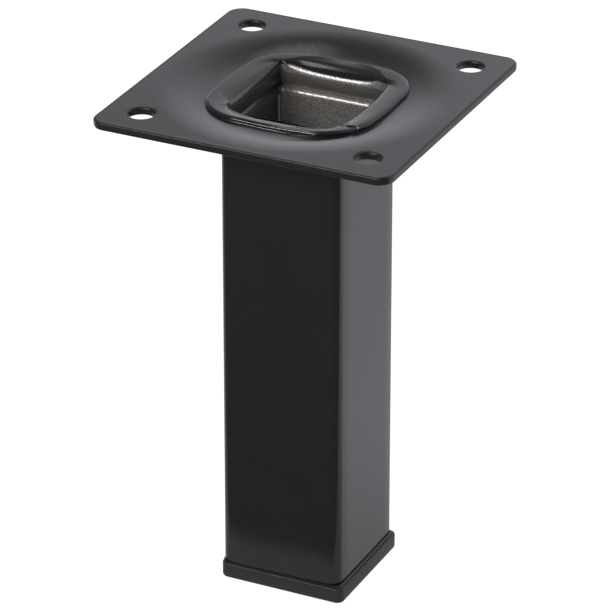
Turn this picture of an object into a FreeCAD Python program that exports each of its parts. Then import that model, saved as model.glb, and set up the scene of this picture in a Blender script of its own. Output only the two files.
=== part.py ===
# Square metal table leg: a pressed mounting plate, a square tube folded over it, and a foot plug.
#
# The frame is in millimetres, with +Z up and the origin in the middle of the foot's underside, so the
# leg stands as it does under a table. The plate's flat top lies at the leg's full height.
import math
import os

import FreeCAD, Part
import Sketcher

Vector = FreeCAD.Vector

# Driving sizes, in millimetres
SIZES = [
    ("leg_height", 100.0),          # foot's underside to the plate's flat top
    ("tube_side", 25.0),            # outside of the square tube
    ("tube_wall", 1.2),
    ("bore_corner", 0.8),           # inner corner radius of the tube
    ("plate_thickness", 1.5),
    ("plate_corner", 3.0),
    ("plate_edge_bevel", 0.35),     # sheared edge of the plate, softened by the paint
    ("screw_edge", 7.25),           # from each hole's centre to the plate's two nearest sides
    ("screw_hole", 5.0),
    ("screw_hole_bevel", 0.35),     # mouth of each hole
    ("dish_depth", 1.3),            # plate's flat top down to the dish's floor
    ("dish_floor_margin", 0.115),   # floor left around the corners of the folded rim
    ("dish_width", 9.06),           # from the floor's edge out to the brim
    ("dish_brim", 1.84),            # flat left between the dish and the middle of each side
    ("rim_reach", 4.0),             # how far the folded rim stands out from the tube
    ("rim_corner", 10.5),
    ("opening_gap", 0.05),          # between the plate's square opening and the tube
    ("rim_thickness", 0.8),          # pressed thinner than the tube's wall
    ("rim_edge_bevel", 0.25),       # upper outer edge of the folded rim
    ("throat_round", 2.2),          # rolled lip from the rim down into the bore
    ("bead_out", 1.4),              # how far the bead stands out from the tube
    ("bead_height", 5.0),
    ("bead_bevel", 1.05),           # stands for the bead's round back
    ("groove_in", 1.1),             # depth of the groove that the bead leaves inside
    ("groove_height", 2.0),
    ("groove_lift", 0.55),          # from the bead's lower edge up to the groove
    ("groove_bevel", 0.45),
    ("head_height", 3.2),
    ("head_overhang", 0.4),         # how far the plug's head stands out from the tube
    ("head_corner", 1.5),
    ("head_sole_bevel", 0.5),
    ("head_top_bevel", 0.25),
    ("neck_height", 0.35),          # shadow gap between the head and the tube's end
    ("neck_inset", 0.5),            # from the tube's outside in to the neck
    ("shank_gap", 1.0),             # between the shank and the tube's inner walls
    ("shank_wall", 1.6),
    ("shank_corner", 1.6),
    ("shank_length", 14.0),
    ("shank_lead", 0.7),            # chamfer at the shank's upper end
    ("plug_floor", 2.0),            # sole of the head under the hollow shank
    ("rib_gap", 0.05),              # between the ribs and the tube's inner walls
    ("rib_thickness", 1.0),
    ("rib_start", 2.5),             # from the tube's end up to the first rib
    ("rib_pitch", 3.6),
]
RIB_COUNT = 3

# Heights and half sizes that follow from the driving sizes
FLOOR_TOP = "(sizes.leg_height - sizes.dish_depth)"
FLOOR_UNDERSIDE = "(sizes.leg_height - sizes.dish_depth - sizes.plate_thickness)"
TUBE_END = "(sizes.head_height + sizes.neck_height)"
TUBE_CORNER = "(sizes.bore_corner + sizes.tube_wall)"
RIM_SIDE = "(sizes.tube_side + 2 * sizes.rim_reach)"
BORE_SIDE = "(sizes.tube_side - 2 * sizes.tube_wall)"
BEAD_BOTTOM = "({} - sizes.bead_height)".format(FLOOR_UNDERSIDE)
RIM_DIAGONAL = "(({} / 2 - sizes.rim_corner) * sqrt(2) + sizes.rim_corner)".format(RIM_SIDE)
FLOOR_END = "({} + sizes.dish_floor_margin)".format(RIM_DIAGONAL)
BRIM_START = "({} + sizes.dish_width)".format(FLOOR_END)
PLATE_SIDE = "(2 * ({} + sizes.dish_brim))".format(BRIM_START)
# Bend radii of the upper skin: a shallower dish has wider bends, so that each keeps its share of the width
BEND_SCALE = "(sizes.dish_width * sizes.dish_width / sizes.dish_depth)"
FLOOR_BEND = "(0.086 * {})".format(BEND_SCALE)
MOUTH_BEND = "(0.358 * {})".format(BEND_SCALE)

# How far the revolved blank reaches past the plate's corners, as a share of the plate's side
BLANK_REACH = 0.75
# How far a cutting ring reaches past the plate, as a share of the plate's side
TRIM_REACH = 0.9
TOUCH = 1e-4


def make_sizes(document):
    """Fills the spreadsheet with the driving sizes."""
    sheet = document.addObject("Spreadsheet::Sheet", "sizes")
    for row, (alias, value) in enumerate(SIZES, start=1):
        sheet.set("A{}".format(row), alias)
        sheet.set("B{}".format(row), repr(value))
        sheet.setAlias("B{}".format(row), alias)
    document.recompute()
    return sheet


def value_of(sketch, expression):
    """The present value of an expression in the driving sizes."""
    value = sketch.evalExpression(expression)
    return float(getattr(value, "Value", value))


def new_body(document, label):
    body = document.addObject("PartDesign::Body", label)
    body.Label = label
    return body


def origin_plane(body, role):
    return next(item for item in body.Origin.OriginFeatures if item.Role == role)


def new_sketch(body, name, role="XY_Plane", height=None):
    """A sketch on one of the body's own planes, lifted to a height given as an expression."""
    sketch = body.newObject("Sketcher::SketchObject", name)
    sketch.AttachmentSupport = [(origin_plane(body, role), "")]
    sketch.MapMode = "FlatFace"
    if height is not None:
        sketch.setExpression("AttachmentOffset.Base.z", height)
    return sketch


def bind(sketch, name, constraint, expression):
    """Adds a named dimension that follows the driving sizes."""
    index = sketch.addConstraint(constraint)
    sketch.renameConstraint(index, name)
    sketch.setExpression("Constraints." + name, expression)


def draw_rounded_square(sketch, side, corner, name="outline"):
    """A square of the given side with round corners, centred on the sketch's origin."""
    half = value_of(sketch, side) / 2
    radius = value_of(sketch, corner)
    centre = half - radius
    first = sketch.GeometryCount
    for quarter in range(4):
        turn = math.radians(90 * quarter)
        spin = FreeCAD.Rotation(Vector(0, 0, 1), 90 * quarter)
        start = spin.multVec(Vector(-centre, -half, 0))
        end = spin.multVec(Vector(centre, -half, 0))
        middle = spin.multVec(Vector(centre, -centre, 0))
        circle = Part.Circle(middle, Vector(0, 0, 1), radius)
        sketch.addGeometry(Part.LineSegment(start, end), False)
        sketch.addGeometry(Part.ArcOfCircle(circle, turn - math.pi / 2, turn), False)
    bottom, right, top, left = first, first + 2, first + 4, first + 6
    rules = []
    for step in range(8):
        rules.append(Sketcher.Constraint("Tangent", first + step, 2, first + (step + 1) % 8, 1))
    rules.append(Sketcher.Constraint("Horizontal", bottom))
    rules.append(Sketcher.Constraint("Horizontal", top))
    rules.append(Sketcher.Constraint("Vertical", right))
    rules.append(Sketcher.Constraint("Vertical", left))
    for other in (3, 5, 7):
        rules.append(Sketcher.Constraint("Equal", first + 1, first + other))
    rules.append(Sketcher.Constraint("Symmetric", bottom, 1, top, 1, -1, 1))
    sketch.addConstraint(rules)
    bind(sketch, name + "_corner", Sketcher.Constraint("Radius", first + 1, radius), corner)
    across = Sketcher.Constraint("DistanceX", left, 1, right, 1, 2 * half)
    bind(sketch, name + "_width", across, side)
    along = Sketcher.Constraint("DistanceY", bottom, 1, top, 1, 2 * half)
    bind(sketch, name + "_depth", along, side)


def draw_circle(sketch, diameter, x=None, y=None, name="circle"):
    """A circle on the origin, or at a place given by two expressions."""
    at_x = value_of(sketch, x) if x else 0.0
    at_y = value_of(sketch, y) if y else 0.0
    size = value_of(sketch, diameter)
    circle = Part.Circle(Vector(at_x, at_y, 0), Vector(0, 0, 1), size / 2)
    index = sketch.addGeometry(circle, False)
    bind(sketch, name + "_size", Sketcher.Constraint("Diameter", index, size), diameter)
    if x is None:
        sketch.addConstraint(Sketcher.Constraint("Coincident", index, 3, -1, 1))
        return
    bind(sketch, name + "_x", Sketcher.Constraint("DistanceX", -1, 1, index, 3, at_x), x)
    bind(sketch, name + "_y", Sketcher.Constraint("DistanceY", -1, 1, index, 3, at_y), y)


def pad(body, sketch, name, length, reverse=False):
    """Adds material from the sketch upwards, or downwards if reversed."""
    feature = body.newObject("PartDesign::Pad", name)
    feature.Profile = sketch
    feature.setExpression("Length", length)
    feature.Reversed = reverse
    body.Document.recompute()
    return feature


def pocket(body, sketch, name, length, upwards=False):
    """Cuts material below the sketch, or above it, and makes sure that some went."""
    before = body.Shape.Volume
    feature = body.newObject("PartDesign::Pocket", name)
    feature.Profile = sketch
    feature.setExpression("Length", length)
    feature.Reversed = upwards
    body.Document.recompute()
    if feature.Shape.Volume >= before - TOUCH:
        raise RuntimeError(name + " cuts nothing")
    return feature


def edges_where(body, test):
    """Names of the body's edges whose bounding box passes a test."""
    names = []
    for number, edge in enumerate(body.Shape.Edges, start=1):
        if test(edge.BoundBox):
            names.append("Edge{}".format(number))
    return names


def loop_edges(body, height, inner, outer):
    """Names of the level edges at one height that lie between two distances from the leg's middle."""
    def inside(box):
        level = abs(box.ZMin - height) < TOUCH and abs(box.ZMax - height) < TOUCH
        across = max(abs(box.XMin), abs(box.XMax), abs(box.YMin), abs(box.YMax))
        return level and inner < across < outer
    return edges_where(body, inside)


def fillet(body, name, edges, radius):
    if not edges:
        raise RuntimeError(name + " found no edge")
    base = body.Tip
    feature = body.newObject("PartDesign::Fillet", name)
    feature.Base = (base, edges)
    feature.setExpression("Radius", radius)
    body.Document.recompute()
    return feature


def chamfer(body, name, edges, size):
    if not edges:
        raise RuntimeError(name + " found no edge")
    base = body.Tip
    feature = body.newObject("PartDesign::Chamfer", name)
    feature.Base = (base, edges)
    feature.setExpression("Size", size)
    body.Document.recompute()
    return feature


def draw_dished_sheet(sketch):
    """Half of the pressed sheet's section: a flat brim, a bend, a slope, a bend and a flat floor."""
    top = value_of(sketch, "sizes.leg_height")
    depth = value_of(sketch, "sizes.dish_depth")
    thick = value_of(sketch, "sizes.plate_thickness")
    floor_bend = value_of(sketch, FLOOR_BEND)
    mouth_bend = value_of(sketch, MOUTH_BEND)
    reach = value_of(sketch, PLATE_SIDE) * BLANK_REACH
    floor_x = value_of(sketch, FLOOR_END)
    mouth_x = value_of(sketch, BRIM_START)
    low = Vector(floor_x, top - depth + floor_bend, 0)
    high = Vector(mouth_x, top - mouth_bend, 0)
    span = high - low
    slope = math.atan2(span.y, span.x) + math.asin((floor_bend + mouth_bend) / span.Length)

    def on_arc(middle, radius, angle):
        return middle + Vector(radius * math.cos(angle), radius * math.sin(angle), 0)

    def skin(offset):
        """The points of one skin, from the axis outwards."""
        return [
            Vector(0, top - depth - offset, 0),
            Vector(floor_x, top - depth - offset, 0),
            on_arc(low, floor_bend + offset, slope - math.pi / 2),
            on_arc(high, mouth_bend - offset, slope + math.pi / 2),
            Vector(mouth_x, top - offset, 0),
            Vector(reach, top - offset, 0),
        ]

    upper, lower = skin(0), skin(thick)
    axis = Vector(0, 0, 1)
    floor_arcs, mouth_arcs = [], []
    for points, offset in ((upper, 0), (lower, thick)):
        floor_circle = Part.Circle(low, axis, floor_bend + offset)
        mouth_circle = Part.Circle(high, axis, mouth_bend - offset)
        sketch.addGeometry(Part.LineSegment(points[0], points[1]), False)
        floor_arc = Part.ArcOfCircle(floor_circle, -math.pi / 2, slope - math.pi / 2)
        floor_arcs.append(sketch.addGeometry(floor_arc, False))
        sketch.addGeometry(Part.LineSegment(points[2], points[3]), False)
        mouth_arc = Part.ArcOfCircle(mouth_circle, math.pi / 2, slope + math.pi / 2)
        mouth_arcs.append(sketch.addGeometry(mouth_arc, False))
        sketch.addGeometry(Part.LineSegment(points[4], points[5]), False)
    inner_end = sketch.addGeometry(Part.LineSegment(upper[0], lower[0]), False)
    outer_end = sketch.addGeometry(Part.LineSegment(upper[5], lower[5]), False)

    rules = []
    for first in (0, 5):
        rules.append(Sketcher.Constraint("Horizontal", first))
        rules.append(Sketcher.Constraint("Horizontal", first + 4))
        rules.append(Sketcher.Constraint("Tangent", first, 2, first + 1, 1))
        rules.append(Sketcher.Constraint("Tangent", first + 1, 2, first + 2, 1))
        rules.append(Sketcher.Constraint("Tangent", first + 2, 2, first + 3, 2))
        rules.append(Sketcher.Constraint("Tangent", first + 3, 1, first + 4, 1))
    rules.append(Sketcher.Constraint("Coincident", floor_arcs[0], 3, floor_arcs[1], 3))
    rules.append(Sketcher.Constraint("Coincident", mouth_arcs[0], 3, mouth_arcs[1], 3))
    rules.append(Sketcher.Constraint("Coincident", inner_end, 1, 0, 1))
    rules.append(Sketcher.Constraint("Coincident", inner_end, 2, 5, 1))
    rules.append(Sketcher.Constraint("Coincident", outer_end, 1, 4, 2))
    rules.append(Sketcher.Constraint("Coincident", outer_end, 2, 9, 2))
    rules.append(Sketcher.Constraint("PointOnObject", 0, 1, -2))
    rules.append(Sketcher.Constraint("Vertical", inner_end))
    rules.append(Sketcher.Constraint("Vertical", outer_end))
    sketch.addConstraint(rules)
    bind(sketch, "brim_height", Sketcher.Constraint("DistanceY", -1, 1, 4, 2, top), "sizes.leg_height")
    floor_height = Sketcher.Constraint("DistanceY", 0, 1, 4, 2, depth)
    bind(sketch, "depth", floor_height, "sizes.dish_depth")
    bind(sketch, "sheet", Sketcher.Constraint("DistanceY", 9, 2, 4, 2, thick), "sizes.plate_thickness")
    bind(sketch, "floor_bend", Sketcher.Constraint("Radius", 1, floor_bend), FLOOR_BEND)
    bind(sketch, "mouth_bend", Sketcher.Constraint("Radius", 3, mouth_bend), MOUTH_BEND)
    bind(sketch, "floor_end", Sketcher.Constraint("DistanceX", -1, 1, 1, 3, floor_x), FLOOR_END)
    bind(sketch, "brim_start", Sketcher.Constraint("DistanceX", -1, 1, 3, 3, mouth_x), BRIM_START)
    width = Sketcher.Constraint("DistanceX", -1, 1, 4, 2, reach)
    bind(sketch, "reach", width, PLATE_SIDE + " * {}".format(BLANK_REACH))


def make_mounting_plate(document):
    """The sheet metal plate: dished, pierced for the tube and drilled for four screws."""
    body = new_body(document, "mounting_plate")
    section = new_sketch(body, "plate_section", role="XZ_Plane")
    draw_dished_sheet(section)
    blank = body.newObject("PartDesign::Revolution", "plate_blank")
    blank.Profile = section
    blank.ReferenceAxis = (section, ["V_Axis"])
    blank.Angle = 360
    document.recompute()

    trim = new_sketch(body, "plate_outline", height="sizes.leg_height")
    draw_circle(trim, "2 * {} * {}".format(TRIM_REACH, PLATE_SIDE), name="ring")
    draw_rounded_square(trim, PLATE_SIDE, "sizes.plate_corner")
    pocket(body, trim, "plate_trim", "sizes.plate_thickness * 2")

    opening = new_sketch(body, "opening_outline", height=FLOOR_TOP)
    opening_side = "sizes.tube_side + 2 * sizes.opening_gap"
    draw_rounded_square(opening, opening_side, TUBE_CORNER + " + sizes.opening_gap")
    pocket(body, opening, "square_opening", "sizes.plate_thickness * 2")

    screws = new_sketch(body, "screw_hole_layout", height="sizes.leg_height")
    half_pitch = "({} / 2 - sizes.screw_edge)".format(PLATE_SIDE)
    for number, (side_x, side_y) in enumerate(((1, 1), (-1, 1), (-1, -1), (1, -1)), start=1):
        at_x = "{} * {}".format(side_x, half_pitch)
        at_y = "{} * {}".format(side_y, half_pitch)
        draw_circle(screws, "sizes.screw_hole", at_x, at_y, name="screw{}".format(number))
    pocket(body, screws, "screw_holes", "sizes.plate_thickness * 2")

    soften_plate(body)
    return body


def soften_plate(body):
    """Bevels the plate's upper edge and the upper mouths of its screw holes."""
    sizes = body.Document.getObject("sizes")
    top = sizes.leg_height
    edge = value_of(body, PLATE_SIDE) / 2
    outline_inner = edge - sizes.plate_corner - TOUCH
    hole_radius = sizes.screw_hole / 2

    def hole_mouth(height):
        def inside(box):
            level = abs(box.ZMin - height) < TOUCH and abs(box.ZMax - height) < TOUCH
            return level and abs(box.XLength - 2 * hole_radius) < TOUCH
        return edges_where(body, inside)

    outline = loop_edges(body, top, outline_inner, edge + TOUCH)
    chamfer(body, "plate_edge", outline, "sizes.plate_edge_bevel")
    chamfer(body, "screw_hole_mouths", hole_mouth(top), "sizes.screw_hole_bevel")


def make_leg_tube(document):
    """The square tube with the rim folded over the plate and the bead that clamps it from below."""
    body = new_body(document, "leg_tube")
    sizes = document.getObject("sizes")
    outline = new_sketch(body, "tube_outline", height=TUBE_END)
    draw_rounded_square(outline, "sizes.tube_side", TUBE_CORNER)
    rim_top = FLOOR_TOP + " + sizes.rim_thickness"
    pad(body, outline, "tube_length", "{} - {}".format(rim_top, TUBE_END))

    rim = new_sketch(body, "rim_outline", height=FLOOR_TOP)
    draw_rounded_square(rim, RIM_SIDE, "sizes.rim_corner")
    pad(body, rim, "folded_rim", "sizes.rim_thickness")

    bead = new_sketch(body, "bead_outline", height=BEAD_BOTTOM)
    bead_side = "sizes.tube_side + 2 * sizes.bead_out"
    draw_rounded_square(bead, bead_side, TUBE_CORNER + " + sizes.bead_out")
    pad(body, bead, "bead", "sizes.bead_height")
    floor_underside = value_of(bead, FLOOR_UNDERSIDE)
    bead_edge = sizes.tube_side / 2 + sizes.bead_out
    bead_inner = sizes.tube_side / 2 + TOUCH
    bead_loops = loop_edges(body, floor_underside - sizes.bead_height, bead_inner, bead_edge + TOUCH)
    bead_loops += loop_edges(body, floor_underside, bead_inner, bead_edge + TOUCH)
    chamfer(body, "bead_back", bead_loops, "sizes.bead_bevel")

    bore = new_sketch(body, "bore_outline", height=rim_top)
    draw_rounded_square(bore, BORE_SIDE, "sizes.bore_corner")
    pocket(body, bore, "bore", "sizes.leg_height")

    groove = new_sketch(body, "groove_outline", height=BEAD_BOTTOM + " + sizes.groove_lift")
    groove_side = BORE_SIDE + " + 2 * sizes.groove_in"
    draw_rounded_square(groove, groove_side, "sizes.bore_corner + sizes.groove_in")
    pocket(body, groove, "bead_groove", "sizes.groove_height", upwards=True)

    groove_bottom = value_of(groove, BEAD_BOTTOM) + sizes.groove_lift
    groove_top = groove_bottom + sizes.groove_height
    bore_edge = sizes.tube_side / 2 - sizes.tube_wall
    groove_edge = bore_edge + sizes.groove_in
    groove_loops = loop_edges(body, groove_bottom, 0, groove_edge + TOUCH)
    groove_loops += loop_edges(body, groove_top, 0, groove_edge + TOUCH)
    chamfer(body, "groove_lips", groove_loops, "sizes.groove_bevel")

    top = value_of(bore, rim_top)
    rim_edge = sizes.tube_side / 2 + sizes.rim_reach
    throat = loop_edges(body, top, 0, bore_edge + TOUCH)
    fillet(body, "throat_roll", throat, "sizes.throat_round")
    lip_edge = bore_edge + sizes.throat_round
    rim_loop = loop_edges(body, top, lip_edge + TOUCH, rim_edge + TOUCH)
    chamfer(body, "rim_edge", rim_loop, "sizes.rim_edge_bevel")
    return body


def make_foot_plug(document):
    """The plastic plug: a square head, a hollow shank and the ribs that grip the tube."""
    body = new_body(document, "foot_plug")
    sizes = document.getObject("sizes")
    head = new_sketch(body, "head_outline")
    head_side = "sizes.tube_side + 2 * sizes.head_overhang"
    draw_rounded_square(head, head_side, "sizes.head_corner")
    pad(body, head, "head", "sizes.head_height")
    head_edge = sizes.tube_side / 2 + sizes.head_overhang
    chamfer(body, "head_sole_edge", loop_edges(body, 0, 0, head_edge + TOUCH), "sizes.head_sole_bevel")
    upper = loop_edges(body, sizes.head_height, 0, head_edge + TOUCH)
    chamfer(body, "head_top_edge", upper, "sizes.head_top_bevel")

    neck = new_sketch(body, "neck_outline", height="sizes.head_height")
    draw_rounded_square(neck, "sizes.tube_side - 2 * sizes.neck_inset", TUBE_CORNER)
    pad(body, neck, "neck", "sizes.neck_height")

    shank = new_sketch(body, "shank_outline", height=TUBE_END)
    shank_side = BORE_SIDE + " - 2 * sizes.shank_gap"
    draw_rounded_square(shank, shank_side, "sizes.shank_corner")
    pad(body, shank, "shank", "sizes.shank_length")
    shank_top = value_of(shank, TUBE_END) + sizes.shank_length
    lead = loop_edges(body, shank_top, 0, sizes.tube_side)
    chamfer(body, "shank_lead_in", lead, "sizes.shank_lead")

    rib = new_sketch(body, "rib_outline", height=TUBE_END + " + sizes.rib_start")
    draw_rounded_square(rib, BORE_SIDE + " - 2 * sizes.rib_gap", "sizes.bore_corner")
    rib_pad = pad(body, rib, "rib", "sizes.rib_thickness")
    ribs = body.newObject("PartDesign::LinearPattern", "ribs")
    ribs.Originals = [rib_pad]
    ribs.Direction = (origin_plane(body, "Z_Axis"), [""])
    ribs.setExpression("Length", "sizes.rib_pitch * {}".format(RIB_COUNT - 1))
    ribs.Occurrences = RIB_COUNT
    body.Tip = ribs
    document.recompute()

    hollow = new_sketch(body, "hollow_outline", height="sizes.plug_floor")
    hollow_side = shank_side + " - 2 * sizes.shank_wall"
    draw_rounded_square(hollow, hollow_side, "sizes.shank_corner / 2")
    pocket(body, hollow, "hollow", "sizes.shank_length + sizes.head_height * 2", upwards=True)
    return body


def check(document, bodies):
    """Stops if any object failed or any piece is not one sound solid."""
    for item in document.Objects:
        if "Invalid" in item.State or "Error" in item.State:
            raise RuntimeError("{} failed: {}".format(item.Name, item.State))
    for body in bodies:
        if body.Shape.isNull() or not body.Shape.isValid():
            raise RuntimeError(body.Label + " is not a sound shape")
        if len(body.Shape.Solids) != 1:
            raise RuntimeError(body.Label + " is not one solid")


def main():
    document = FreeCAD.newDocument("square_table_leg")
    make_sizes(document)
    bodies = [
        make_mounting_plate(document),
        make_leg_tube(document),
        make_foot_plug(document),
    ]
    for body in bodies:
        body.Placement = FreeCAD.Placement()
    document.recompute()
    check(document, bodies)
    os.makedirs("parts", exist_ok=True)
    for body in bodies:
        body.Shape.exportStep("parts/{}.step".format(body.Label))
        box = body.Shape.BoundBox
        heights = "from {:.2f} to {:.2f} mm".format(box.ZMin, box.ZMax)
        print(body.Label, round(body.Shape.Volume, 1), "mm3,", heights)


main()
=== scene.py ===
# %% [markdown]
# # A square metal table leg
# This lesson dresses a short furniture leg: a square steel tube, the dished plate that the tube's upper end
# is folded over, and the plastic plug that it stands on. The solids come from the frame at their real place
# and size, in metres, with the middle of the foot at the origin and +Z up. All three pieces are built again
# here with the fine edges that a press, a punch, a saw and a mould leave, because those edges catch the
# light and the solids leave them out. The finishes, the studio and the camera follow.

# %% Load the frame
import math

import bmesh
import bpy
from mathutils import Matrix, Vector


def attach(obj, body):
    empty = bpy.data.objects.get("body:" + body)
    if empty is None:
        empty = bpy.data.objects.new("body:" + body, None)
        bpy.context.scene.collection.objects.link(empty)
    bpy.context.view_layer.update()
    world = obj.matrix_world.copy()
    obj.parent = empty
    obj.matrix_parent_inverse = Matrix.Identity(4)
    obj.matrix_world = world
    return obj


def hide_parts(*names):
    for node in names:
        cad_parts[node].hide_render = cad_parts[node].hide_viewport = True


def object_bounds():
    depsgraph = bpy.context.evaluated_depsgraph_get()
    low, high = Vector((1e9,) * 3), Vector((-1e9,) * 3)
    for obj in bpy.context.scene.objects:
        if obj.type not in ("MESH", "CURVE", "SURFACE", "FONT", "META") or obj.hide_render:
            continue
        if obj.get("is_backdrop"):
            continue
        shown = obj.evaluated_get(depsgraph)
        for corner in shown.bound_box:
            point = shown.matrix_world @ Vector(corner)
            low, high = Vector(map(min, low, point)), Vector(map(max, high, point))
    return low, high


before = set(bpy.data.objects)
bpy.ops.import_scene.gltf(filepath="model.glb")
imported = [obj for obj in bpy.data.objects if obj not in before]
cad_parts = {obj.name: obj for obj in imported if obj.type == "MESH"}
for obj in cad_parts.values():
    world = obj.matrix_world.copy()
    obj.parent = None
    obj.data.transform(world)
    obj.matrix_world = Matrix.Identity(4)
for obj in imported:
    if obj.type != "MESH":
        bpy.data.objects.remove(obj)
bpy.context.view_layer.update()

MM = 0.001
print("solids:", sorted(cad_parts))

# %% [markdown]
# ## Selecting pieces
# Every operator acts on what is selected, and the loaded solids start out selected, so an operator that is
# run now would change them too. Data could be changed without operators, but then this lesson would teach
# nothing that can be repeated by hand. So each piece begins with nothing selected.

# %% Start with nothing selected
def nothing_selected():
    bpy.ops.object.select_all(action="DESELECT")


def select_only(*pieces):
    """Selects these pieces, and makes the first one the active piece that operators work on."""
    nothing_selected()
    for piece in pieces:
        piece.select_set(True)
    bpy.context.view_layer.objects.active = pieces[0]


print("selected after loading:", len(bpy.context.selected_objects))
nothing_selected()
print("selected now:", len(bpy.context.selected_objects))

# %% [markdown]
# ## Picking parts of a mesh
# Inside edit mode one edge or one face of a piece is worked on at a time. Such parts could be named by
# their numbers, but the numbers change with every cut. Their place doesn't, so a short test of the place
# picks them.

# %% Pick faces, edges or points by their place
def middle_of(item):
    """The middle of a face, an edge or a point, in mm."""
    if isinstance(item, bmesh.types.BMFace):
        return item.calc_center_median() / MM
    if isinstance(item, bmesh.types.BMEdge):
        return (item.verts[0].co + item.verts[1].co) / 2 / MM
    return item.co / MM


def pick(test, kind="FACE"):
    """Selects what passes the test, which is given the middle of each item and the item, and counts it."""
    bpy.ops.mesh.select_mode(type=kind)
    bpy.ops.mesh.select_all(action="DESELECT")
    mesh = bmesh.from_edit_mesh(bpy.context.object.data)
    items = {"FACE": mesh.faces, "EDGE": mesh.edges, "VERT": mesh.verts}[kind]
    found = [item for item in items if test(middle_of(item), item)]
    for item in found:
        item.select_set(True)
    mesh.select_flush_mode()
    bmesh.update_edit_mesh(bpy.context.object.data)
    return len(found)


print("kinds to pick:", "FACE, EDGE, VERT")

# %% [markdown]
# ## Handing a piece over
# A finished piece lies at the origin, unturned and unscaled, with its place in its mesh, as the solids do.
# It rides on the leg's only body and replaces its solid, which is hidden. Its round parts have to look
# smooth and its edges crisp. Smooth shading all over would blur the edges, so only faces that
# meet at less than a given angle are smoothed into each other.

# %% Finish a piece
def finish_piece(piece, node, angle):
    """Puts the place in the mesh, smooths the round parts and hands the piece to the frame."""
    select_only(piece)
    bpy.ops.object.transform_apply(location=True, rotation=True, scale=True)
    bpy.ops.object.shade_smooth_by_angle(angle=math.radians(angle))
    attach(piece, "root")
    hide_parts(node)
    size = [round(v / MM, 2) for v in piece.dimensions]
    print(piece.name, len(piece.data.polygons), "faces", size, "mm")


def apply_modifier(piece, modifier):
    select_only(piece)
    bpy.ops.object.modifier_apply(modifier=modifier.name)


print("pieces to build:", len(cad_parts))

# %% [markdown]
# ## Outlines seen from above
# The tube is one skin that goes up the outside, out under the rim, over the rim, down the rolled lip and
# down the inside. Seen from above, each level of it is a square with round corners. Only the size, the
# corner radius and the bulge of the sides change. The plate's opening and its outer edge are such squares
# too. Curve objects could draw them, but each would have its own number of points. One function gives any
# such outline with the same number of points, so that level after level can be joined by straight rows of
# faces.

# %% Numbers of the points round a ring
SIDE_STEPS = 28
CORNER_STEPS = 12
QUARTER = SIDE_STEPS + CORNER_STEPS
RING = 4 * QUARTER
RIGHT, BACK, LEFT, FRONT = range(4)
FOLD = FRONT * QUARTER + SIDE_STEPS + 8.5
FOLD_EDGE = 0.06
print("points in each ring:", RING, "with the fold after point", math.floor(FOLD))


# %% One point of a round-cornered square
EASE_START = 0.77


def crowded(place):
    """Draws the two points beside the fold close together, so that the fold's edge stays sharp."""
    near = {math.floor(FOLD): FOLD - FOLD_EDGE, math.ceil(FOLD): FOLD + FOLD_EDGE}
    return near.get(place, place)


def outline_point(place, half, corner, bulge=0.0, ease=0.0):
    """Where point number `place` lies. The sides bulge in their middle, and the ease draws the corners in."""
    quarter, step = divmod(crowded(place), QUARTER)
    straight = half - corner
    if step <= SIDE_STEPS:
        along = 2 * step / SIDE_STEPS - 1
        eased = max((abs(along) - EASE_START) / (1 - EASE_START), 0)
        x = half + bulge * (1 - along * along) - ease * eased ** 2
        y = straight * along
    else:
        turn = math.radians(90) * (step - SIDE_STEPS) / CORNER_STEPS
        x = straight + (corner - ease) * math.cos(turn)
        y = straight + (corner - ease) * math.sin(turn)
    angle = math.radians(90) * quarter
    cos, sin = math.cos(angle), math.sin(angle)
    return x * cos - y * sin, x * sin + y * cos


x, y = outline_point(SIDE_STEPS // 2, 10, 2)
print("middle of the right side of a square of 20 mm:", round(x, 2), round(y, 2))


# %% A level ring
def level_ring(half, corner, height, ease=0.0):
    """A ring at one height, given as a function from the number of a point to its place."""
    def where(place):
        x, y = outline_point(place, half, corner, 0.0, ease)
        return Vector((x, y, height))

    return where


print("a corner of a level ring:", level_ring(10, 2, 5)(SIDE_STEPS + CORNER_STEPS // 2).to_tuple(2))

# %% [markdown]
# ## Starting a ring
# A piece that is one closed skin starts as a bare ring of points. When a ring is extruded, the new points
# have no fixed order. So a number is kept on each point: it travels along with every extrusion, and a point
# always knows its place round the ring.

# %% Start a ring
START_RADIUS = 20


def start_ring(name):
    """A circle in edit mode with numbered points. Its radius doesn't matter, as every ring is laid anew."""
    nothing_selected()
    bpy.ops.mesh.primitive_circle_add(vertices=RING, radius=START_RADIUS * MM, fill_type="NOTHING")
    piece = bpy.context.object
    piece.name = name
    bpy.ops.object.mode_set(mode="EDIT")
    mesh = bmesh.from_edit_mesh(piece.data)
    places = mesh.verts.layers.int.new("place")
    ordered = sorted(mesh.verts, key=lambda vertex: math.atan2(vertex.co.y, vertex.co.x) % (2 * math.pi))
    for number, vertex in enumerate(ordered):
        vertex[places] = (number + SIDE_STEPS // 2) % RING
    bmesh.update_edit_mesh(piece.data)
    return piece


print("the first point lies in the middle of the right side, number", SIDE_STEPS // 2)

# %% [markdown]
# ## Raising a skin ring by ring
# Each further level is an extrusion of the last ring, which is then laid on its own outline. A bevelled
# cube is quicker, but its bevels have one width all round. On the real tube the lip's width changes along
# each side, and with rings it can.

# %% Raise the rings
def lay_ring(piece, where):
    """Moves the selected ring onto the points that `where` gives for each place."""
    mesh = bmesh.from_edit_mesh(piece.data)
    places = mesh.verts.layers.int["place"]
    for vertex in mesh.verts:
        if vertex.select:
            vertex.co = where(vertex[places]) * MM
    bmesh.update_edit_mesh(piece.data)


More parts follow.
